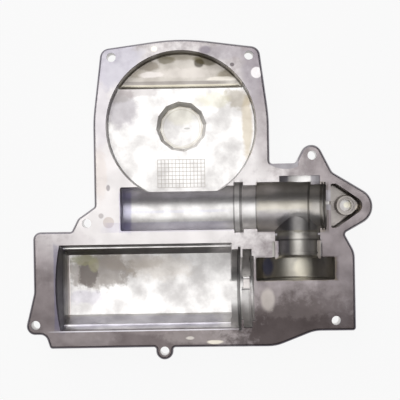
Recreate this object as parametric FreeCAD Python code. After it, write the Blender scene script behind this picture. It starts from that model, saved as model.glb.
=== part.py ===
import FreeCAD, Part
import math
import os

V = FreeCAD.Vector
os.makedirs("parts", exist_ok=True)

# Open half of a die cast gearbox housing. Z = 0 is the machined joint face and the
# pockets go down from it. X runs along the worm shaft, Y up through the wheel chamber.
# The origin is on the wheel's axis.

# casting
flange_t = 6.0          # joint flange
wall = 3.0              # shells behind the pockets
rim_r = 2.0             # rounding of the flange's outer rim
deep = 60.0             # longer than anything is deep, for cutting tools
wide = 600.0            # wider than the casting, for the same

# bolt holes
bolt_r = 3.3
boss_r = 7.0            # bosses behind the holes
boss_z = -12.0          # their seats
top_x = 49.6            # pair of holes at the top
top_y = 49.9
low_y = -142.3          # pair of holes at the bottom
low_x = (-107.1, 109.5)
ear_hole = (94.0, -22.9)
side_hole = (-69.2, -69.4)
foot_hole = (-14.4, -162.3)
foot_r = 6.2

# wheel chamber, its relief and the hub seat
chamber_r = 54.4
chamber_foot_r = 54.0
chamber_d = 10.0
relief_y = 27.7         # the relief lies above this chord
relief_d = 14.5
hub_sides = 12
hub_corner_r = 18.5
hub_foot_r = 16.0
hub_d = 23.5
hub_bore_r = 13.6
hub_floor_d = 24.3
hub_back = 28.0

# worm trough, stations along X
worm_y = -59.6
worm_x0 = -44.9
groove_x = (37.1, 43.9)
cross_x = (53.7, 92.9)
worm_x1 = 103.7
ring_x = ((100.3, 101.3), (102.3, 103.3))   # two turned rings near its right end
ring_r = 17.2
worm_r = 15.8
groove_r = 18.2
crossing_r = 17.9
rib_x1 = 106.9          # the thin rib ends here and the nose pocket starts

# nose pocket and its boss
nose_d = 14.5
nose_boss = (118.5, worm_y + 0.1)
nose_boss_r = 6.9
nose_boss_top = -4.0
nose_step_r = 5.7
nose_step_d = 5.6
nose_hole_r = 4.3
nose_hole_d = 15.5

# output shaft, across the worm along Y, stations along Y
shaft_x = 82.6
head_x = (70.0, 99.4)   # shallow dished seat for its upper end
head_y = (-42.2, -37.4)
head_d = 3.4
seat_y = (-84.3, -77.0)
seat_r = 16.3
stop_y = (-80.4, -79.0) # half ring that stops the bearing
stop_r = 14.7
stop_d = 1.0
shaft_r = 13.9
ring_y = (-93.5, -92.6) # turned ring near the bore's lower end
bore_ring_r = 14.5
mouth_y = -95.2         # the bore opens out from here to the gear slot
mouth_r = 15.0
collar_r = 16.5         # the bearing's wall stands proud into the gear slot
collar_out = 1.3
moat_x = ((64.2, 66.1), (99.1, 100.0))      # slots beside the bearing's wall
moat_y = (-97.0, -85.2)
moat_d = 3.0
slot_x = 80.7           # half disc for the output gear
slot_y = (-112.8, -96.0)
slot_r = 28.4

# motor cradle and the seats at its right end
cradle_y = -115.7
cradle_half = 30.8
cradle_x = (-93.0, 34.9)
cradle_bow = 4.0        # its left mouth bows out by this
ledge_half = 27.6       # the walls step in here
ledge_d = 10.0
ledge_x = -87.8
floor_half = 22.2
floor_x = -85.8
floor_side_d = 26.3
floor_mid_d = 28.0
plate_y = -118.1
plate_r = 28.4
plate_x = (34.9, 39.4)
gap_x = (39.4, 41.2)    # deep gap beside the plate's seat
gap_r = 30.2
ring_bore_r = 22.5      # inside of the thin ring between gap and collar seat
collar_x = (42.6, 49.2)
seal_x1 = 50.7          # shallower seat at the right end
seal_r = 23.4
key_y = -114.9
key_w = 8.1
key_top = -14.0
pad_x = 26.4            # raised pad on the cradle's floor
pad_y = (-140.0, -115.4)
pad_h = 0.8

# lowered land in the shoulder beside the ear, and the thin rib's edge
scoop = (75.2, -32.6)
scoop_r = 21.8
scoop_d = 1.2
scoop_x = (63.4, 84.0)
rib_lands = ((-62.6, -58.4, 1.2), (-58.6, -56.2, 4.5), (-56.4, -48.2, 0.9))


def corner_wire(points, z):
    """A closed wire through (x, y, radius) corners, each rounded by its radius."""
    edges = []
    joints = []
    n = len(points)
    for i in range(n):
        x, y, r = points[i]
        p = V(x, y, z)
        a = V(points[i - 1][0], points[i - 1][1], z) - p
        b = V(points[(i + 1) % n][0], points[(i + 1) % n][1], z) - p
        a.normalize()
        b.normalize()
        if r <= 0:
            joints.append((p, None, p))
            continue
        half = a.getAngle(b) / 2
        back = r / math.tan(half)
        bisector = (a + b).normalize()
        centre = p + bisector * (r / math.sin(half))
        joints.append((p + a * back, centre - bisector * r, p + b * back))
    for i in range(n):
        start, mid, end = joints[i]
        if mid is not None:
            edges.append(Part.Arc(start, mid, end).toShape())
        following = joints[(i + 1) % n][0]
        if (following - end).Length > 1e-6:
            edges.append(Part.LineSegment(end, following).toShape())
    return Part.Wire(edges)


def prism(points, z_top, z_low):
    face = Part.Face(corner_wire(points, z_low))
    return face.extrude(V(0, 0, z_top - z_low))


def grown(points, by):
    """The same convex outline, moved out by a distance."""
    cx = sum(p[0] for p in points) / len(points)
    cy = sum(p[1] for p in points) / len(points)
    out = []
    n = len(points)
    for i in range(n):
        p = V(points[i][0], points[i][1], 0)
        a = V(points[i - 1][0], points[i - 1][1], 0) - p
        b = V(points[(i + 1) % n][0], points[(i + 1) % n][1], 0) - p
        a.normalize()
        b.normalize()
        half = a.getAngle(b) / 2
        outward = (a + b).normalize() * (-by / math.sin(half))
        if (p + outward - V(cx, cy, 0)).Length < (p - V(cx, cy, 0)).Length and by > 0:
            outward = outward * -1
        q = p + outward
        out.append((q.x, q.y, max(points[i][2] + by, 0.5)))
    return out


def along_x(x0, x1, y, r):
    return Part.makeCylinder(r, x1 - x0, V(x0, y, 0), V(1, 0, 0))


def along_y(y0, y1, x, r):
    return Part.makeCylinder(r, y1 - y0, V(x, y0, 0), V(0, 1, 0))


def stub(x, y, r_top, r_low, z_top, z_low):
    """An upright round stub or pocket with draft, larger at the joint face's side."""
    if abs(r_top - r_low) < 1e-6:
        return Part.makeCylinder(r_top, z_top - z_low, V(x, y, z_low))
    return Part.makeCone(r_low, r_top, z_top - z_low, V(x, y, z_low))


def rounded_ends(shape, r):
    """Rounds every convex end edge of a simple shell that isn't on its seams."""
    edges = []
    for e in shape.Edges:
        if e.Length > 4 * r and isinstance(e.Curve, Part.Circle):
            edges.append(e)
    return shape.makeFillet(r, edges)


def low_edges(shape, z):
    """The edges that lie flat at height z."""
    return [e for e in shape.Edges
            if abs(e.BoundBox.ZMin - z) < 1e-4 and abs(e.BoundBox.ZMax - z) < 1e-4]


def cradle_profile(x, grow, mid_d):
    """Cradle section: drafted walls with a ledge, and a floor with a shallow curve."""
    y = cradle_y
    w = grow
    if grow > 0:
        pts = [V(x, y + cradle_half + w, 1), V(x, y + cradle_half + w, -1),
               V(x, y + floor_half + w + 1.2, -floor_side_d)]
        low = [V(x, y - floor_half - w - 1.2, -floor_side_d),
               V(x, y - cradle_half - w, -1), V(x, y - cradle_half - w, 1)]
    else:
        pts = [V(x, y + cradle_half, 1), V(x, y + cradle_half, 0),
               V(x, y + ledge_half + 0.9, -ledge_d), V(x, y + ledge_half, -ledge_d),
               V(x, y + floor_half, -floor_side_d)]
        low = [V(x, y - floor_half, -floor_side_d), V(x, y - ledge_half, -ledge_d),
               V(x, y - ledge_half - 0.9, -ledge_d), V(x, y - cradle_half, 0),
               V(x, y - cradle_half, 1)]
    arc = Part.Arc(pts[-1], V(x, y, -mid_d), low[0]).toShape()
    left = Part.makePolygon(pts).Edges
    right = Part.makePolygon(low + [pts[0]]).Edges
    return Part.Face(Part.Wire(left + [arc] + right))


# ---------------------------------------------------------------- flange
outline = [
    (-57.1, 55.8, 7.0), (0.0, 63.3, 150.0), (57.1, 55.8, 7.0),
    (63.4, 5.7, 110.0), (63.4, -28.5, 2.2), (82.0, -28.4, 3.0),
    (ear_hole[0] - 0.2, ear_hole[1] + 16.7, 7.8), (108.4, -35.2, 6.0),
    (150.4, -61.0, 13.4), (116.4, -79.6, 2.2), (123.8, -93.4, 15.0),
    (123.8, -149.8, 2.2), (94.0, -149.6, 25.0), (66.0, -160.3, 30.0),
    (foot_hole[0] + foot_r, -159.8, 1.8),
    (foot_hole[0] + foot_r, foot_hole[1] - foot_r, foot_r),
    (foot_hole[0] - foot_r, foot_hole[1] - foot_r, foot_r),
    (foot_hole[0] - foot_r, -159.5, 1.8),
    (-96.9, -159.5, 2.2), (-100.2, -149.3, 5.5), (-115.4, -149.3, 6.2),
    (-108.1, -119.2, 12.0), (-108.1, -75.3, 5.5), (-80.3, -75.4, 2.2),
    (-75.6, -66.1, 4.0), (-63.4, -57.6, 2.2), (-63.4, 5.7, 110.0),
]
flange = prism(outline, 0.0, -flange_t)
front_rim = [e for e in flange.Edges
             if abs(e.BoundBox.ZMin) < 1e-4 and abs(e.BoundBox.ZMax) < 1e-4]
flange = flange.makeFillet(rim_r, front_rim)

# ---------------------------------------------------------------- shells behind it
nose = [
    (rib_x1, worm_y + 16.0, 1.5), (rib_x1 + 4.0, worm_y + 16.0, 2.5),
    (134.2, worm_y, 6.0), (rib_x1 + 4.0, worm_y - 16.0, 2.5),
    (rib_x1, worm_y - 16.0, 1.5),
]

shells = []
back = stub(0, 0, chamber_r + wall, chamber_foot_r + wall - 0.6, 0, -chamber_d - wall)
shells.append(back.makeFillet(3.0, low_edges(back, -chamber_d - wall)))
above = Part.makeBox(2 * chamber_r + 20, chamber_r + 20, deep,
                     V(-chamber_r - 10, relief_y - wall, -deep))
back = stub(0, 0, chamber_r + wall, chamber_foot_r + wall - 1.0, 0, -relief_d - wall)
back = back.common(above)
shells.append(back.makeFillet(3.0, low_edges(back, -relief_d - wall)))
back = stub(0, 0, hub_corner_r + 4.0, hub_corner_r + 2.6, -chamber_d, -hub_back)
shells.append(back.makeFillet(2.0, low_edges(back, -hub_back)))

shells.append(rounded_ends(
    along_x(worm_x0 - wall, worm_x1, worm_y, worm_r + wall), 3.0))
shells.append(along_x(groove_x[0] - 2.5, groove_x[1] + 2.5, worm_y, groove_r + wall))
shells.append(along_x(cross_x[0] - 2.5, worm_x1 + 1.0, worm_y, crossing_r + wall))
back = prism(grown(nose, wall), 0, -nose_d - wall)
shells.append(back.makeFillet(2.5, low_edges(back, -nose_d - wall)))

shells.append(along_y(slot_y[1] - 1, worm_y, shaft_x, seat_r + wall))
shells.append(rounded_ends(
    along_y(slot_y[0] - wall, slot_y[1] + wall, slot_x, slot_r + wall), 3.0))
shells.append(rounded_ends(
    along_x(plate_x[0] - wall, collar_x[1] + wall, plate_y, plate_r + wall), 3.0))
shells.append(rounded_ends(
    along_x(gap_x[0] - wall, gap_x[1] + wall, plate_y, gap_r + 2.4), 1.5))
body_x = cradle_x[0] - wall
body = cradle_profile(body_x, wall, floor_mid_d + wall)
body = body.extrude(V(cradle_x[1] - cradle_x[0] + 2 * wall, 0, 0))
ends = [e for e in body.Edges if abs(e.BoundBox.XMin - e.BoundBox.XMax) < 1e-4
        and abs(e.BoundBox.XMin - body_x) < 1e-4 and e.BoundBox.ZMax < 0.5]
shells.append(body.makeFillet(3.0, ends))

for x, y in ((-top_x, top_y), (top_x, top_y), ear_hole, side_hole,
             (low_x[0], low_y), (low_x[1], low_y)):
    shells.append(stub(x, y, boss_r, boss_r - 0.5, -1.0, boss_z))
shells.append(stub(foot_hole[0], foot_hole[1], foot_r - 0.1, foot_r - 0.5, -3.0, boss_z))
shells.append(stub(nose_boss[0], nose_boss[1], nose_boss_r + 1.5, nose_boss_r + 1.0,
                   -nose_d, -nose_hole_d - wall))

air = Part.makeBox(wide, wide, deep, V(-wide / 2, -wide / 2, -flange_t / 2))
lower = shells[0].multiFuse(shells[1:])
lower = lower.cut(air)
blank = flange.fuse(lower)

# ---------------------------------------------------------------- pockets
cuts = []
tool = stub(0, 0, chamber_r, chamber_foot_r, 0, -chamber_d)
cuts.append(tool.makeFillet(1.2, low_edges(tool, -chamber_d)))
slope = (chamber_r - chamber_foot_r) / chamber_d
relief_foot_r = chamber_r - slope * relief_d
above = Part.makeBox(2 * chamber_r + 20, chamber_r + 20, deep,
                     V(-chamber_r - 10, relief_y, -deep))
tool = stub(0, 0, chamber_r, relief_foot_r, 0, -relief_d).common(above)
chord = [e for e in low_edges(tool, -relief_d) if isinstance(e.Curve, Part.Line)]
tool = tool.makeFillet(3.0, chord)
arc = [e for e in low_edges(tool, -relief_d) if isinstance(e.Curve, Part.Circle)]
cuts.append(tool.makeFillet(1.2, arc))

turn = math.radians(6.0)
corners = []
for i in range(hub_sides):
    a = turn + 2 * math.pi * i / hub_sides
    corners.append(V(hub_corner_r * math.cos(a), hub_corner_r * math.sin(a),
                     -chamber_d))
rim = Part.makePolygon(corners + [corners[0]])
feet = []
for c in corners:
    k = hub_foot_r / hub_corner_r
    feet.append(V(c.x * k, c.y * k, -hub_d))
foot = Part.makePolygon(feet + [feet[0]])
cuts.append(Part.makeLoft([rim, foot], True, True))
cuts.append(stub(0, 0, hub_bore_r, hub_bore_r, -chamber_d, -hub_floor_d))

cuts.append(rounded_ends(along_x(worm_x0, worm_x1, worm_y, worm_r), 1.5))
cuts.append(along_x(groove_x[0], groove_x[1], worm_y, groove_r))
cuts.append(along_x(cross_x[0], cross_x[1], worm_y, crossing_r))
for x0, x1 in ring_x:
    cuts.append(along_x(x0, x1, worm_y, ring_r))

tool = prism(nose, 1.0, -nose_d)
tool = tool.makeFillet(2.0, low_edges(tool, -nose_d))
post = stub(nose_boss[0], nose_boss[1], nose_boss_r, nose_boss_r + 0.6,
            nose_boss_top, -nose_d - 1)
cuts.append(tool.cut(post))

# upper end of the output shaft: a dish wide enough to reach the seat's width
half = (head_x[1] - head_x[0]) / 2
dish_r = (half * half + head_d * head_d) / (2 * head_d)
cuts.append(Part.makeCylinder(dish_r, head_y[1] - head_y[0] + 4,
                              V(head_x[0] + half, head_y[0] - 4, dish_r - head_d),
                              V(0, 1, 0)))

tool = along_y(seat_y[0], worm_y, shaft_x, seat_r)
stop = along_y(stop_y[0], stop_y[1], shaft_x, seat_r + 1)
stop = stop.cut(along_y(stop_y[0] - 1, stop_y[1] + 1, shaft_x, stop_r))
stop = stop.cut(Part.makeBox(wide, deep, deep, V(0, stop_y[0] - deep / 2, -stop_d)))
cuts.append(tool.cut(stop))
collar_y = slot_y[1] - collar_out
cuts.append(along_y(collar_y - 1, seat_y[0] + 1, shaft_x, shaft_r))
cuts.append(along_y(ring_y[0], ring_y[1], shaft_x, bore_ring_r))
cuts.append(Part.makeCone(mouth_r, shaft_r, mouth_y - collar_y, V(shaft_x, collar_y, 0),
                          V(0, 1, 0)))
for x0, x1 in moat_x:
    cuts.append(Part.makeBox(x1 - x0, moat_y[1] - moat_y[0], moat_d + 1,
                             V(x0, moat_y[0], -moat_d)))

tool = rounded_ends(along_y(slot_y[0], slot_y[1], slot_x, slot_r), 1.2)
cuts.append(tool.cut(along_y(collar_y, slot_y[1] + 1, shaft_x, collar_r)))

tool = cradle_profile(cradle_x[0] - 5, 0, floor_mid_d)
tool = tool.extrude(V(cradle_x[1] - cradle_x[0] + 5, 0, 0))
y_up = cradle_y + cradle_half + 2
y_low = cradle_y - cradle_half - 2
slope = (ledge_x - floor_x) / (floor_side_d - ledge_d)
sections = ((1.0, cradle_x[0] + cradle_bow, cradle_bow), (-ledge_d, ledge_x, 0.2),
            (-deep / 2 - 5, ledge_x - slope * (deep / 2 + 5 - ledge_d), 0.2))
mouths = []
for z, x, bow_out in sections:
    bow = Part.Arc(V(x, y_low, z), V(x - bow_out, cradle_y, z), V(x, y_up, z))
    run = Part.makePolygon([V(x, y_up, z), V(cradle_x[1], y_up, z),
                            V(cradle_x[1], y_low, z), V(x, y_low, z)])
    mouths.append(Part.Wire([bow.toShape()] + run.Edges))
reach = Part.makeLoft(mouths[:2], True, True).fuse(Part.makeLoft(mouths[1:], True, True))
tool = tool.common(reach)
raised = cradle_profile(pad_x, 0, floor_mid_d - pad_h)
raised = raised.extrude(V(plate_x[1] - pad_x, 0, 0))
pad = Part.makeBox(plate_x[1] - pad_x, pad_y[1] - pad_y[0], deep,
                   V(pad_x, pad_y[0], -deep)).cut(raised)
cuts.append(tool.cut(pad))

tool = along_x(plate_x[0] - 1, plate_x[1], plate_y, plate_r)
cuts.append(tool.cut(pad))
cuts.append(along_x(gap_x[0], gap_x[1], plate_y, gap_r))
cuts.append(along_x(gap_x[1] - 1, collar_x[0] + 1, plate_y, ring_bore_r))
cuts.append(along_x(collar_x[1] - 1, seal_x1, plate_y, seal_r))
tool = along_x(collar_x[0], collar_x[1], plate_y, plate_r)
key = Part.makeBox(collar_x[1] - collar_x[0], key_w, deep,
                   V(collar_x[0], key_y - key_w / 2, key_top - deep))
cuts.append(tool.cut(key))

tool = Part.makeCylinder(scoop_r, scoop_d + 1, V(scoop[0], scoop[1] + scoop_r, -scoop_d))
cuts.append(tool.common(Part.makeBox(scoop_x[1] - scoop_x[0], 10, 10,
                                     V(scoop_x[0], scoop[1] - 1, -5))))
# a slit and two lowered lands in the thin rib's edge
for y0, y1, d in rib_lands:
    cuts.append(Part.makeBox(rib_x1 - worm_x1 + 2, y1 - y0, d + 1,
                             V(worm_x1 - 1, y0, -d)))

# ---------------------------------------------------------------- holes
for x, y in ((-top_x, top_y), (top_x, top_y), ear_hole, side_hole,
             (low_x[0], low_y), (low_x[1], low_y), foot_hole):
    cuts.append(Part.makeCylinder(bolt_r, deep, V(x, y, -deep / 2)))
cuts.append(Part.makeCylinder(nose_hole_r, nose_hole_d + nose_boss_top,
                              V(nose_boss[0], nose_boss[1], -nose_hole_d)))
cuts.append(Part.makeCylinder(nose_step_r, nose_step_d + nose_boss_top,
                              V(nose_boss[0], nose_boss[1], -nose_step_d)))

housing = blank
for tool in cuts:
    housing = housing.cut(tool)
housing = housing.removeSplitter()
print("solids", len(housing.Solids), "valid", housing.isValid())
print("volume cm3", housing.Volume / 1000.0)
box = housing.BoundBox
print("size", box.XMin, box.XMax, box.YMin, box.YMax, box.ZMin, box.ZMax)
housing.exportStep("parts/housing.step")
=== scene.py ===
import bmesh
import bpy
from mathutils import Matrix, Vector


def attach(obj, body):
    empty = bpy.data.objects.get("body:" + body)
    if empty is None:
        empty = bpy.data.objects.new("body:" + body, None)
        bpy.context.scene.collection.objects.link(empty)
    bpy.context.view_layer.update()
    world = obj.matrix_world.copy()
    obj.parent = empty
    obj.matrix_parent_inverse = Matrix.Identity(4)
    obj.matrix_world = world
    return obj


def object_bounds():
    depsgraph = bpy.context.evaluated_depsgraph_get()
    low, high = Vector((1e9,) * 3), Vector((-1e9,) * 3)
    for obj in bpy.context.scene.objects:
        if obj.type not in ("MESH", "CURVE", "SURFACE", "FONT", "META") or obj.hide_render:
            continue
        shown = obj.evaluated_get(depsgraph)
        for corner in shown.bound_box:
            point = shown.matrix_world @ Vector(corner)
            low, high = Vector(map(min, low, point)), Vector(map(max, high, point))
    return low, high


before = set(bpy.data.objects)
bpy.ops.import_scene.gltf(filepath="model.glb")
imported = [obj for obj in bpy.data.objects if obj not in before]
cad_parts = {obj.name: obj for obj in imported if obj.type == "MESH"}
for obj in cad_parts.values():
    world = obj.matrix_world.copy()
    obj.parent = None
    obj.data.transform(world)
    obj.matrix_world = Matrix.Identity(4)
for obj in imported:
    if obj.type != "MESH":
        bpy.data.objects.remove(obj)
cad_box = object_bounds()

# --- Housing ---------------------------------------------------------------
# One half of a gearbox housing: a flat joint flange with its pockets, cast
# in a steel die in one shot of aluminium. Nothing is machined but the joint
# face, the bores and the bolt holes.
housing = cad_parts["housing"]


def colour(code):
    """An sRGB hex code as the linear colour that a socket takes."""
    parts = [int(code[i:i + 2], 16) / 255 for i in (1, 3, 5)]
    linear = [p / 12.92 if p <= 0.04045 else ((p + 0.055) / 1.055) ** 2.4
              for p in parts]
    return (*linear, 1.0)


def add(tree, kind, links=None, **settings):
    """Adds a node: its settings by name, and for each input a value or
    the socket that feeds it."""
    made = tree.nodes.new(kind)
    for name, value in settings.items():
        setattr(made, name, value)
    for name, value in (links or {}).items():
        if isinstance(value, bpy.types.NodeSocket):
            tree.links.new(value, made.inputs[name])
        else:
            made.inputs[name].default_value = value
    return made


# Die-cast aluminium as it leaves the die: a grey skin with a soft sheen that
# mottles where the die lubricant burnt on. The joint face is lighter over its upper
# middle and darker towards its bottom. Painted shade darkens the steep walls, the
# rounded rims, gaps and steps, and painted highlights and cool reflections sit in the
# pockets. It stays a metal with a broad highlight.
cast = bpy.data.materials.new("die-cast aluminium")
cast.use_nodes = True
tree = cast.node_tree
tree.nodes.clear()
place = add(tree, "ShaderNodeTexCoord")
MM = 1000.0
mm = add(tree, "ShaderNodeVectorMath", {0: place.outputs["Object"], "Scale": MM},
         operation="SCALE").outputs[0]
height = add(tree, "ShaderNodeSeparateXYZ", {0: mm}).outputs["Z"]
facing = add(tree, "ShaderNodeSeparateXYZ", {0: place.outputs["Normal"]})
BLOTCH, CLOUD, GRAIN = 7.0, 16.0, 0.9   # width of each pattern in mm
ragged = add(tree, "ShaderNodeTexNoise", {"Vector": mm, "Scale": 1 / BLOTCH, "Detail": 6.0,
                                          "Roughness": 0.65}).outputs["Fac"]
cloud = add(tree, "ShaderNodeTexNoise", {"Vector": mm, "Scale": 1 / CLOUD, "Detail": 5.0,
                                         "Roughness": 0.6}).outputs["Fac"]
grain = add(tree, "ShaderNodeTexNoise", {"Vector": mm, "Scale": 1 / GRAIN, "Detail": 3.0,
                                         "Roughness": 0.6}).outputs["Fac"]
mottle = add(tree, "ShaderNodeMapRange", {"Value": cloud, 1: 0.35, 2: 0.7, 3: 0.0, 4: 1.0},
             interpolation_type="SMOOTHSTEP").outputs[0]
skin = add(tree, "ShaderNodeMix", {0: mottle, 6: colour("#efedeb"), 7: colour("#d2cfcd")},
           data_type="RGBA").outputs[2]
face = add(tree, "ShaderNodeMix", {0: mottle, 6: colour("#a59d9e"), 7: colour("#8f8788")},
           data_type="RGBA").outputs[2]
on_face = add(tree, "ShaderNodeMapRange", {"Value": height, 1: -0.5, 2: -0.1, 3: 0.0, 4: 1.0},
              interpolation_type="SMOOTHSTEP").outputs[0]
tone = add(tree, "ShaderNodeMix", {0: on_face, 6: skin, 7: face},
           data_type="RGBA").outputs[2]

# Walls that face away from the front are darkened here: painted shade.
shaded_side = add(tree, "ShaderNodeMapRange",
                {"Value": facing.outputs["Y"], 1: -0.3, 2: -0.7, 3: 0.0, 4: 1.0},
                interpolation_type="SMOOTHSTEP").outputs[0]


def stain_and_painted_light(under, kind, centre, half, soft, torn, strength, code):
    """The colour with one patch over it, for stains and for painted light: an oval,
    box or ring, or a wall patch of painted shade, of that centre and half size in mm,
    with a soft and a torn edge."""
    offset = add(tree, "ShaderNodeVectorMath", {0: mm, 1: centre},
                 operation="SUBTRACT").outputs[0]
    unit = add(tree, "ShaderNodeVectorMath", {0: offset, 1: [1 / h for h in half]},
               operation="MULTIPLY").outputs[0]
    if kind in ("box", "wall"):
        size = add(tree, "ShaderNodeVectorMath", {0: unit}, operation="ABSOLUTE").outputs[0]
        axis = add(tree, "ShaderNodeSeparateXYZ", {0: size})
        flat = add(tree, "ShaderNodeMath", {0: axis.outputs["X"], 1: axis.outputs["Y"]},
                   operation="MAXIMUM").outputs[0]
        far = add(tree, "ShaderNodeMath", {0: flat, 1: axis.outputs["Z"]},
                  operation="MAXIMUM").outputs[0]
    else:
        far = add(tree, "ShaderNodeVectorMath", {0: unit}, operation="LENGTH").outputs["Value"]
    if kind == "ring":
        off = add(tree, "ShaderNodeMath", {0: far, 1: 1.0, 2: soft},
                  operation="COMPARE").outputs[0]
        amount = add(tree, "ShaderNodeMath", {0: off, 1: strength},
                     operation="MULTIPLY").outputs[0]
    else:
        tear = add(tree, "ShaderNodeMapRange", {"Value": ragged, 1: 0.3, 2: 0.7,
                                                3: -torn / 2, 4: torn / 2}).outputs[0]
        worn = add(tree, "ShaderNodeMath", {0: far, 1: tear}, operation="ADD").outputs[0]
        amount = add(tree, "ShaderNodeMapRange",
                     {"Value": worn, 1: 1 + soft / 2, 2: 1 - soft / 2, 3: 0.0, 4: strength},
                     interpolation_type="SMOOTHSTEP").outputs[0]
    if kind == "wall":
        amount = add(tree, "ShaderNodeMath", {0: amount, 1: shaded_side},
                     operation="MULTIPLY").outputs[0]
    return add(tree, "ShaderNodeMix", {0: amount, 6: under, 7: colour(code)},
               data_type="RGBA").outputs[2]
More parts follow.
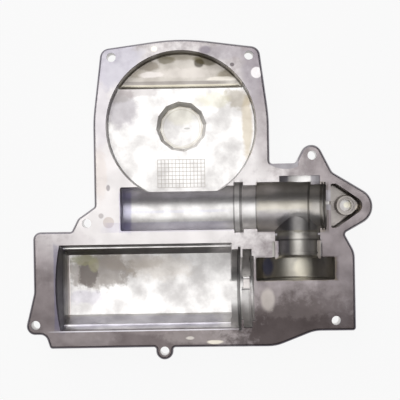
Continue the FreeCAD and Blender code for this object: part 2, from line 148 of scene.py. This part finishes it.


# Stains of burnt lubricant and painted light, patch by patch; each group says
# what is painted light. Each gives its kind, centre, half size, softness, tear,
# strength and colour.
STAINS_AND_PAINTED_LIGHT = [
    # joint face: lighter over the upper middle and darker towards the bottom
    ("oval", (-22.9, -31.7, 0), (92.2, 92.2, 2.5), 0.55, 0.3, 0.95, "#dfdbda"),
    ("oval", (-95.2, -137, 0), (37.4, 44.6, 2.5), 0.5, 0.5, 0.6, "#6b6262"),
    ("oval", (-88.6, -88.2, 0), (24.5, 15.8, 2.5), 0.6, 0.5, 0.3, "#a39a9c"),
    ("oval", (-25, -157.6, 0), (54, 13, 2.5), 0.5, 0.6, 0.7, "#665c5b"),
    ("oval", (-68.1, -151.9, 0), (18.7, 6.5, 2.5), 0.5, 0.5, 0.55, "#a09898"),
    ("oval", (14.7, -151.8, 0), (30.2, 5.8, 2.5), 0.5, 0.6, 0.55, "#a49c9a"),
    ("oval", (86.7, -152.3, 0), (50.4, 28.8, 2.5), 0.55, 0.6, 0.88, "#473e3d"),
    ("oval", (111.3, -102.3, 0), (17.3, 43.2, 2.5), 0.5, 0.5, 0.45, "#7d7577"),
    ("oval", (83.5, -127, 0), (37.4, 13, 2.5), 0.5, 0.7, 0.35, "#857c7b"),
    ("oval", (60.5, -126.7, 0), (5, 7.9, 2.5), 0.5, 0.3, 0.75, "#c4bcb6"),
    ("oval", (-49, 46.5, 0), (21.6, 18.7, 2.5), 0.6, 0.5, 0.55, "#aaa8b8"),
    ("oval", (-58.2, 12.1, 0), (6.5, 28.8, 2.5), 0.6, 0.5, 0.35, "#b9b4be"),
    ("oval", (56, 35.4, 0), (11.5, 24.5, 2.5), 0.6, 0.5, 0.6, "#9c959d"),
    ("oval", (60.4, -0.6, 0), (8.6, 28.8, 2.5), 0.6, 0.6, 0.5, "#a29a9c"),
    ("oval", (32.5, 52.4, 0), (15.8, 5, 2.5), 0.6, 0.6, 0.45, "#a49fa6"),
    ("oval", (18.1, 54.1, 0), (4.3, 2.9, 2.5), 0.6, 0.3, 0.65, "#7d7580"),
    ("oval", (-18.6, 55.4, 0), (2.2, 1.8, 2.5), 0.5, 0.1, 0.8, "#fffbe9"),
    ("oval", (37.4, 43.3, 0), (1.6, 1.4, 2.5), 0.5, 0.1, 0.75, "#4f474a"),
    ("oval", (-53.3, -44.1, 0), (1.4, 2.2, 2.5), 0.5, 0.1, 0.6, "#6c6468"),
    ("oval", (-58.7, -64.2, 0), (1.8, 1.8, 2.5), 0.5, 0.1, 0.5, "#857c7c"),
    ("oval", (54.9, 37.3, 0), (4, 4, 2.5), 0.2, 0.05, 0.8, "#f6f2f2"),
    ("oval", (-53.4, -69, 0), (4, 4, 2.5), 0.2, 0.05, 0.55, "#b7aaa2"),
    ("oval", (22.6, -156.3, 0), (5.8, 1.4, 2.5), 0.5, 0.4, 0.85, "#f3ecdd"),
    ("oval", (3.9, -153.1, 0), (2.9, 1.2, 2.5), 0.5, 0.4, 0.7, "#e8e2da"),
    ("oval", (-24.8, -146.8, 0), (18.7, 3.6, 2.5), 0.6, 0.5, 0.35, "#a69d9d"),
    ("oval", (-59, -34.7, 0), (5, 18.7, 2.5), 0.5, 0.5, 0.35, "#d6c9c0"),
    # wheel chamber floor
    ("oval", (-43.1, 12.8, -10), (11.7, 12.4, 2.5), 0.6, 0.6, 0.6, "#a8a2a9"),
    ("oval", (-44.4, 23, -10), (8.8, 4.4, 2.5), 0.6, 0.6, 0.55, "#9f9996"),
    ("oval", (-30.5, 25.7, -10), (16.1, 3.6, 2.5), 0.6, 0.7, 0.45, "#a59b9b"),
    ("oval", (41.7, 20.1, -10), (10.2, 6.6, 2.5), 0.6, 0.7, 0.6, "#9c9280"),
    ("oval", (24.9, 18.9, -10), (11.7, 5.8, 2.5), 0.6, 0.6, 0.4, "#cfcbb0"),
    ("oval", (48, 0.3, -10), (3.6, 23.4, 2.5), 0.6, 0.4, 0.6, "#bcae92"),
    ("oval", (13.9, 16.9, -10), (7.3, 3.6, 2.5), 0.6, 0.6, 0.25, "#c9c4b0"),
    ("oval", (-23, -9.5, -10), (7.3, 21.9, 2.5), 0.8, 0.6, 0.1, "#cfcbc8"),
    # relief: olive-brown streaks towards the top wall, partly stains and partly painted shade;
    # the light bands lower down and the cream strip at the chord are painted highlights, and
    # the grey band between them painted shade
    ("box", (0.4, 41.8, -14.5), (51.4, 12.6, 5), 0.1, 0.12, 0.64, "#a89f92"),
    ("oval", (13.7, 46.8, -14.5), (3.7, 3.3, 3), 0.5, 0.2, 0.76, "#2e2717"),
    ("oval", (19.6, 48.9, -14.5), (9.5, 3.7, 3), 0.5, 0.5, 0.68, "#4b432a"),
    ("oval", (-10.5, 49.4, -14.5), (5.9, 2.9, 3), 0.5, 0.5, 0.52, "#57502f"),
    ("oval", (2, 52.1, -14.5), (29.4, 2.9, 3), 0.5, 0.5, 0.36, "#7d7355"),
    ("oval", (-23.8, 45.2, -14.5), (8.1, 3.7, 3), 0.5, 0.6, 0.52, "#6e6250"),
    ("oval", (-32.7, 39.5, -14.5), (7.3, 2.9, 3), 0.6, 0.5, 0.4, "#8a7f6c"),
    ("oval", (34.8, 38.3, -14.5), (8.1, 3.3, 3), 0.5, 0.6, 0.56, "#71674e"),
    ("oval", (-22.5, 38.6, -14.5), (8.8, 2.2, 3), 0.5, 0.6, 0.6, "#efe9e6"),
    ("oval", (4, 39.6, -14.5), (22, 3.7, 3), 0.6, 0.7, 0.44, "#dcd5cf"),
    ("oval", (30.4, 34.7, -14.5), (11.8, 1.8, 3), 0.6, 0.4, 0.6, "#f6f0e6"),
    ("box", (-2, 32.5, -14.5), (38.2, 1.2, 3), 0.35, 0.3, 0.56, "#817a78"),
    ("box", (-0.6, 29.9, -14), (44, 1.2, 3), 0.35, 0.1, 0.6, "#ded7c0"),
    # hub
    ("oval", (-1.1, 8.9, -24), (10.4, 6.7, 3), 0.6, 0.4, 0.28, "#d9d4b8"),
    ("oval", (3.9, -0.5, -24), (2.2, 0.7, 3), 0.4, 0.1, 0.49, "#8e8c88"),
    ("ring", (-0.1, 0.2, -24), (15.1, 15.1, 900), 0.035, 0, 0.42, "#b9b096"),
    ("ring", (-0.1, 0, -24), (13.7, 13.7, 900), 0.03, 0, 0.32, "#c4bda6"),
    # worm trough: the lavender lower side and left end are a painted cool reflection, the pale
    # band a painted highlight, and the dark lines at the groove and step walls painted shade
    ("box", (-9.4, -72.8, -9), (43.7, 3.3, 9), 0.4, 0.1, 0.44, "#9c97b8"),
    ("box", (-41.6, -61.7, -12), (3.7, 13.2, 14), 0.5, 0.2, 0.48, "#8f8bb8"),
    ("box", (-5.8, -62, -15), (36.7, 1, 4), 0.5, 0.5, 0.28, "#bfc0d8"),
    ("box", (42.5, -59.5, -12), (1, 18.3, 18), 0.4, 0, 0.6, "#3b3537"),
    ("box", (37.5, -59.4, -12), (0.6, 18.3, 18), 0.4, 0, 0.52, "#4e474a"),
    ("box", (53.9, -59.7, -12), (0.6, 17.6, 18), 0.4, 0, 0.48, "#4b4548"),
    ("box", (48.6, -59.6, -14), (4.8, 16.1, 14), 0.3, 0.2, 0.2, "#b4aeb0"),
    # crossing, right end: a darker tan floor, darkest at the lower right; the pale band is a
    # painted highlight, the bluish lower left a painted cool reflection, and the dark lines at
    # the step and the end wall painted shade
    ("box", (78.3, -60.1, -10), (24.5, 18.2, 13), 0.04, 0.1, 0.49, "#8d8578"),
    ("box", (73.1, -58.5, -17), (19.2, 3.3, 4), 0.5, 0.5, 0.31, "#d8d0ba"),
    ("box", (67.2, -70.8, -10), (12.4, 7.3, 14), 0.4, 0.3, 0.31, "#8a8496"),
    ("oval", (85.7, -71.2, -12), (17.6, 8.4, 12), 0.35, 0.2, 0.6, "#30313a"),
    ("box", (92.4, -60.3, -12), (0.7, 17.6, 18), 0.4, 0, 0.51, "#2f2925"),
    ("box", (103, -60.5, -12), (2.3, 17.6, 18), 0.3, 0, 0.48, "#3b3424"),
    # output shaft bore and slot: olive-brown floors; the blue at their left sides is a painted
    # cool reflection, the cream spot in the slot a painted highlight, and the dark line at the
    # bore's step, the dark strips along the lip and the dark ends of the slot painted shade
    ("box", (83.5, -87.1, -8), (15.3, 9.8, 15), 0.08, 0.1, 0.49, "#8b8676"),
    ("box", (73, -87.6, -8), (4.7, 6.6, 15), 0.5, 0.1, 0.42, "#50507a"),
    ("box", (94.9, -88.6, -6), (2.9, 7.3, 15), 0.5, 0.1, 0.35, "#55504a"),
    ("box", (84.6, -81.7, -10), (11.7, 1.5, 14), 0.4, 0.1, 0.24, "#b3aca4"),
    ("box", (84.7, -84, -12), (14.6, 0.6, 14), 0.4, 0, 0.49, "#3c3733"),
    ("box", (65.3, -90.5, -2), (0.9, 5.8, 3), 0.4, 0.1, 0.59, "#67634f"),
    ("box", (99.8, -91.8, -2), (0.6, 5.1, 3), 0.4, 0.1, 0.59, "#4b4244"),
    ("box", (81.6, -104.9, -14), (29, 8.2, 15.5), 0.03, 0.1, 0.56, "#8a8268"),
    ("oval", (62.5, -104.1, -18), (4.8, 7.4, 12), 0.6, 0.1, 0.63, "#27408c"),
    ("box", (55.3, -104.2, -10), (3.3, 8.8, 16), 0.3, 0.1, 0.49, "#241e22"),
    ("box", (103.4, -104.4, -12), (8.1, 8.8, 16), 0.3, 0.1, 0.45, "#493d3b"),
    ("oval", (88.8, -105.9, -27), (6.7, 7.5, 6), 0.6, 0.2, 0.49, "#fff9e6"),
    # nose: a brown floor; the white spot in the hole is a painted highlight
    ("box", (119.1, -59.6, -9), (13.1, 18.2, 6), 0.05, 0.1, 0.66, "#6f645c"),
    ("oval", (120.8, -59.3, -15.5), (2.5, 2.2, 3), 0.5, 0.1, 0.77, "#fffbe8"),
    ("ring", (119.1, -59.2, -4), (7, 7, 900), 0.1, 0, 0.3, "#b9b2a8"),
    ("oval", (128, -60.9, -10), (2.9, 2.2, 8), 0.6, 0.2, 0.59, "#e9dfd0"),
    # motor cradle: brown, greenish and tan blots on the floor, darkest at the upper left,
    # partly stains and partly painted shade and warm reflection; the lavender lower floor and
    # wall and the bluish left wall are a painted cool reflection, with painted shade low on
    # the left wall, and the white lines at the foot of the left wall and along the lower rim
    # are painted highlights
    ("oval", (-64.3, -105.6, -27), (25.4, 13.4, 3), 0.4, 0.6, 0.72, "#8c837c"),
    ("oval", (-71.8, -108.5, -27), (7.5, 9, 3), 0.35, 0.5, 0.7, "#5c5450"),
    ("oval", (-74.6, -97.2, -27), (10.5, 3.7, 3), 0.5, 0.5, 0.65, "#9d9a7c"),
    ("oval", (-67.2, -101.1, -27), (3.7, 5.2, 3), 0.5, 0.4, 0.55, "#aca88a"),
    ("oval", (-40.3, -99.3, -27), (22.4, 6, 3), 0.6, 0.6, 0.5, "#a79d93"),
    ("oval", (-18, -104.2, -27), (22.4, 9, 3), 0.7, 0.7, 0.35, "#c9beb0"),
    ("oval", (-74.4, -124.9, -27), (13.4, 5.2, 3), 0.6, 0.6, 0.35, "#b3adc0"),
    ("box", (-29.2, -143.7, -16), (57.4, 4.9, 13), 0.35, 0.2, 0.25, "#c9c6ea"),
    ("box", (-89.9, -116.1, -6), (3.6, 30.5, 9), 0.25, 0.2, 0.5, "#6c6a84"),
    ("box", (-87.2, -118.6, -18), (2.2, 28, 9), 0.3, 0.2, 0.4, "#5c5450"),
    ("box", (-85.9, -120.9, -26), (0.7, 26.9, 4), 0.4, 0, 0.8, "#f3ece9"),
    ("box", (-28.4, -147.2, -0.6), (61.3, 0.4, 1), 0.4, 0.1, 0.8, "#f0eef4"),
    # seats: the dark column beside the cradle end, the dark gap, the darker top of the collar
    # and the dark lines around the key are painted shade
    ("box", (38, -102.7, -14), (2.6, 11.7, 15), 0.2, 0.1, 0.52, "#43403c"),
    ("box", (40.5, -119.1, -16), (1.1, 29.4, 17), 0.3, 0, 0.59, "#2b2729"),
    ("box", (46.4, -98.3, -12), (2.9, 8.8, 14), 0.3, 0.2, 0.42, "#4a4446"),
    ("box", (45.7, -116.6, -14), (2.9, 4.3, 1.2), 0.2, 0.1, 0.45, "#cabfba"),
    ("box", (45.9, -112.2, -17), (3.3, 0.5, 16), 0.3, 0, 0.56, "#3c3435"),
    ("box", (45.7, -121.2, -17), (3.3, 0.5, 16), 0.3, 0, 0.56, "#3c3435"),
    ("box", (49.5, -109.2, -10), (1.2, 13.1, 12), 0.3, 0, 0.52, "#2f2a2b"),
    ("box", (49, -131.7, -16), (1.2, 11.8, 12), 0.4, 0, 0.32, "#8f8888"),
]
# Painted shade on the walls of the pockets that face away from the front.
SHADED_WALLS = [
    ("wall", (0, 52, -7), (62, 9, 8), 0.2, 0.1, 0.4, "#3b362f"),
    ("wall", (0, -48, -8), (56, 6, 9), 0.2, 0.1, 0.45, "#3b362f"),
    ("wall", (-40, -90, -13), (62, 9, 14), 0.2, 0.1, 0.75, "#3b362f"),
]
for patch in SHADED_WALLS + STAINS_AND_PAINTED_LIGHT:
    tone = stain_and_painted_light(tone, *patch)

# A darker band of painted shade follows every edge of the joint face, over the
# rounded rim and the tops of the pocket walls.
RIM_TOP, RIM_LOW, RIM_FADE = -0.12, -2.2, 0.3
below = add(tree, "ShaderNodeMapRange", {"Value": height, 1: RIM_TOP + 0.05, 2: RIM_TOP,
                                         3: 0.0, 4: 1.0}).outputs[0]
above = add(tree, "ShaderNodeMapRange", {"Value": height, 1: RIM_LOW - RIM_FADE, 2: RIM_LOW,
                                         3: 0.0, 4: 0.7}).outputs[0]
band = add(tree, "ShaderNodeMath", {0: below, 1: above}, operation="MULTIPLY").outputs[0]
tone = add(tree, "ShaderNodeMix", {0: band, 6: tone, 7: colour("#77727c")},
           data_type="RGBA").outputs[2]

SKIN_DEPTH = 0.00006            # metres, of the cast skin's unevenness
SMOOTH, ROUGH = 0.34, 0.46      # between rubbed and dull skin
relief = add(tree, "ShaderNodeMath", {0: grain, 1: 0.5, 2: ragged},
             operation="MULTIPLY_ADD").outputs[0]
bump = add(tree, "ShaderNodeBump", {"Strength": 1.0, "Distance": SKIN_DEPTH,
                                    "Height": relief})
sheen = add(tree, "ShaderNodeMapRange", {"Value": cloud, 1: 0.2, 2: 0.8, 3: SMOOTH, 4: ROUGH},
            interpolation_type="SMOOTHSTEP").outputs[0]
shader = add(tree, "ShaderNodeBsdfPrincipled",
             {"Base Color": tone, "Metallic": 1.0, "Roughness": sheen,
              "Normal": bump.outputs[0]})
add(tree, "ShaderNodeOutputMaterial", {0: shader.outputs[0]})
housing.data.materials.clear()
housing.data.materials.append(cast)

# --- Date grid ---------------------------------------------------------------
# The die carries a plain calendar grid, which the metal fills. It stands on
# the floor of the wheel chamber as low ridges and is part of the casting.
GRID_LEFT, GRID_TOP, CHAMBER_FLOOR = -17.8, -24.1, -10.0
CELL_X, CELL_Y, COLUMNS, ROWS = 2.64, 2.9, 13, 7
RIDGE_WIDTH, RIDGE_HIGH, RIDGE_SUNK = 0.38, 0.16, 0.1
grid = bmesh.new()
bars = []
for column in range(COLUMNS + 1):
    bars.append((GRID_LEFT + column * CELL_X, GRID_TOP - ROWS * CELL_Y / 2,
                 RIDGE_WIDTH, ROWS * CELL_Y + RIDGE_WIDTH))
for row in range(ROWS + 1):
    bars.append((GRID_LEFT + COLUMNS * CELL_X / 2, GRID_TOP - row * CELL_Y,
                 COLUMNS * CELL_X + RIDGE_WIDTH, RIDGE_WIDTH))
for x, y, wide, deep in bars:
    tall = RIDGE_HIGH + RIDGE_SUNK
    spot = Vector((x, y, CHAMBER_FLOOR + RIDGE_HIGH - tall / 2)) / MM
    shape = Matrix.Translation(spot) @ Matrix.Diagonal((wide / MM, deep / MM, tall / MM, 1))
    bmesh.ops.create_cube(grid, size=1.0, matrix=shape)
mesh = bpy.data.meshes.new("cast_date_grid")
grid.to_mesh(mesh)
grid.free()
date_grid = bpy.data.objects.new("cast_date_grid", mesh)
bpy.context.scene.collection.objects.link(date_grid)

# The ridges are a darker grey than the skin, so they read as a fine grey net.
net = bpy.data.materials.new("cast ridge")
net.use_nodes = True
shader = net.node_tree.nodes["Principled BSDF"]
shader.inputs["Base Color"].default_value = colour("#bdb7b1")
shader.inputs["Metallic"].default_value = 1.0
shader.inputs["Roughness"].default_value = 0.45
mesh.materials.append(net)
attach(date_grid, "root")

# --- Studio ----------------------------------------------------------------
# A pale floor that the shells of the casting stand on, white to the eye and
# in reflections, with a soft shadow under the flange.
floor_z = cad_box[0].z
mesh = bpy.data.meshes.new("studio floor")
REACH = 20.0
mesh.from_pydata([(-REACH, -REACH, floor_z), (REACH, -REACH, floor_z),
                  (REACH, REACH, floor_z), (-REACH, REACH, floor_z)], [],
                 [(0, 1, 2, 3)])
floor = bpy.data.objects.new("studio floor", mesh)
bpy.context.scene.collection.objects.link(floor)
paper = bpy.data.materials.new("white paper sweep")
paper.use_nodes = True
tree = paper.node_tree
tree.nodes.clear()
matt = add(tree, "ShaderNodeBsdfDiffuse", {"Color": colour("#e6e6e6")})
glow = add(tree, "ShaderNodeEmission", {"Color": colour("#ffffff"), "Strength": 1.0})
path = add(tree, "ShaderNodeLightPath")
seen = add(tree, "ShaderNodeMath", {0: path.outputs["Is Camera Ray"],
                                    1: path.outputs["Is Glossy Ray"]},
           operation="MAXIMUM").outputs[0]
seen = add(tree, "ShaderNodeMath", {0: seen, 1: path.outputs["Is Transmission Ray"]},
           operation="MAXIMUM").outputs[0]
share = add(tree, "ShaderNodeMath", {0: seen, 1: 0.9}, operation="MULTIPLY").outputs[0]
both = add(tree, "ShaderNodeMixShader", {0: share, 1: matt.outputs[0],
                                         2: glow.outputs[0]})
add(tree, "ShaderNodeOutputMaterial", {0: both.outputs[0]})
mesh.materials.append(paper)

# The world is a dim room with a white band at the horizon, as a sweep gives.
world = bpy.data.worlds.new("studio room")
bpy.context.scene.world = world
world.use_nodes = True
tree = world.node_tree
tree.nodes.clear()
ray = add(tree, "ShaderNodeTexCoord")
ray_z = add(tree, "ShaderNodeSeparateXYZ", {0: ray.outputs["Generated"]}).outputs["Z"]
band = add(tree, "ShaderNodeMapRange", {"Value": ray_z, 1: 0.2, 2: 0.3, 3: 1.0, 4: 0.0},
           interpolation_type="SMOOTHSTEP").outputs[0]
tone = add(tree, "ShaderNodeMix", {0: band, 6: colour("#4c4b4d"), 7: colour("#ffffff")},
           data_type="RGBA").outputs[2]
room = add(tree, "ShaderNodeBackground", {"Color": tone, "Strength": 1.0})
add(tree, "ShaderNodeOutputWorld", {0: room.outputs[0]})


# One wide soft box leans over the casting from behind and to the left.
BOX_AT, BOX_AIM = Vector((-0.25, 0.42, 1.25)), Vector((0.0, -0.05, 0.0))
BOX_WIDE, BOX_DEEP, BOX_WATTS = 1.3, 2.4, 16.0
lamp = bpy.data.lights.new("large soft box", "AREA")
lamp.shape = "RECTANGLE"
lamp.size, lamp.size_y = BOX_WIDE, BOX_DEEP
lamp.energy = BOX_WATTS
soft_box = bpy.data.objects.new("large soft box", lamp)
soft_box.location = BOX_AT
soft_box.rotation_euler = (BOX_AIM - BOX_AT).to_track_quat("-Z", "Y").to_euler()
soft_box.visible_camera = False
bpy.context.scene.collection.objects.link(soft_box)

# The camera looks straight down on the joint face, turned a little about Z.
view = bpy.data.cameras.new("camera")
view.sensor_width = 36.0
view.lens = 90.0
camera = bpy.data.objects.new("camera", view)
camera.location = (0.01274, -0.05386, 0.72)
camera.rotation_euler = (0.0, 0.0, -0.0166)
bpy.context.scene.collection.objects.link(camera)
bpy.context.scene.camera = camera
bpy.context.scene.view_settings.view_transform = "Standard"
